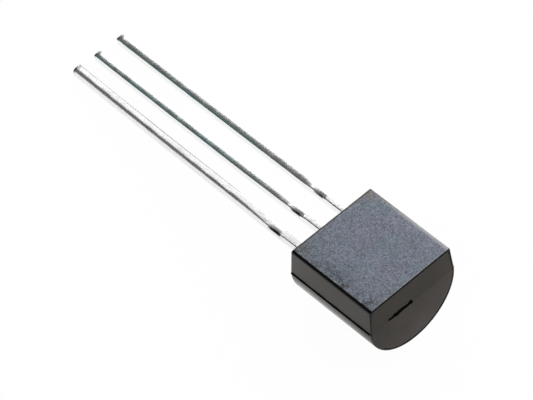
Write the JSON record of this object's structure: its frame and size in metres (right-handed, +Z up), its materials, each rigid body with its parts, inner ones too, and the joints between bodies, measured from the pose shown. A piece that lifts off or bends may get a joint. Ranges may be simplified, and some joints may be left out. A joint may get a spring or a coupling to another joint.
{
  "type": "transistor",
  "caption": "Small-signal transistor in a black moulded package with a D-shaped section and straight tinned leads, lying on its round back.",
  "frame": {"origin": "middle of the bottom of the box round the part as it lies at rest, on the surface that it rests on", "axes": "+X runs level from the lead tips towards the body, +Y runs across the leads from the collector to the emitter, +Z is up. The flat face looks up, tipped 9.1 degrees towards the lead tips, because the part rests on the tips of its leads and on the lead-side edge of its round back."},
  "size_m": [0.0196, 0.0048, 0.0044],
  "materials": {
    "moulding_compound": "black moulded epoxy, satin, fine grain on the flat",
    "tinned_lead": "bright tin plate on copper alloy strip",
    "die_attach": "silver-filled epoxy",
    "silicon": "polished silicon",
    "gold_wire": "drawn gold wire"
  },
  "bodies": {
    "root": {"moulded_body": "moulding_compound", "emitter_lead": "tinned_lead", "base_lead": "tinned_lead", "collector_lead": "tinned_lead", "die_attach": "die_attach", "silicon_die": "silicon", "base_bond_wire": "gold_wire", "emitter_bond_wire": "gold_wire"}
  },
  "joints": []
}
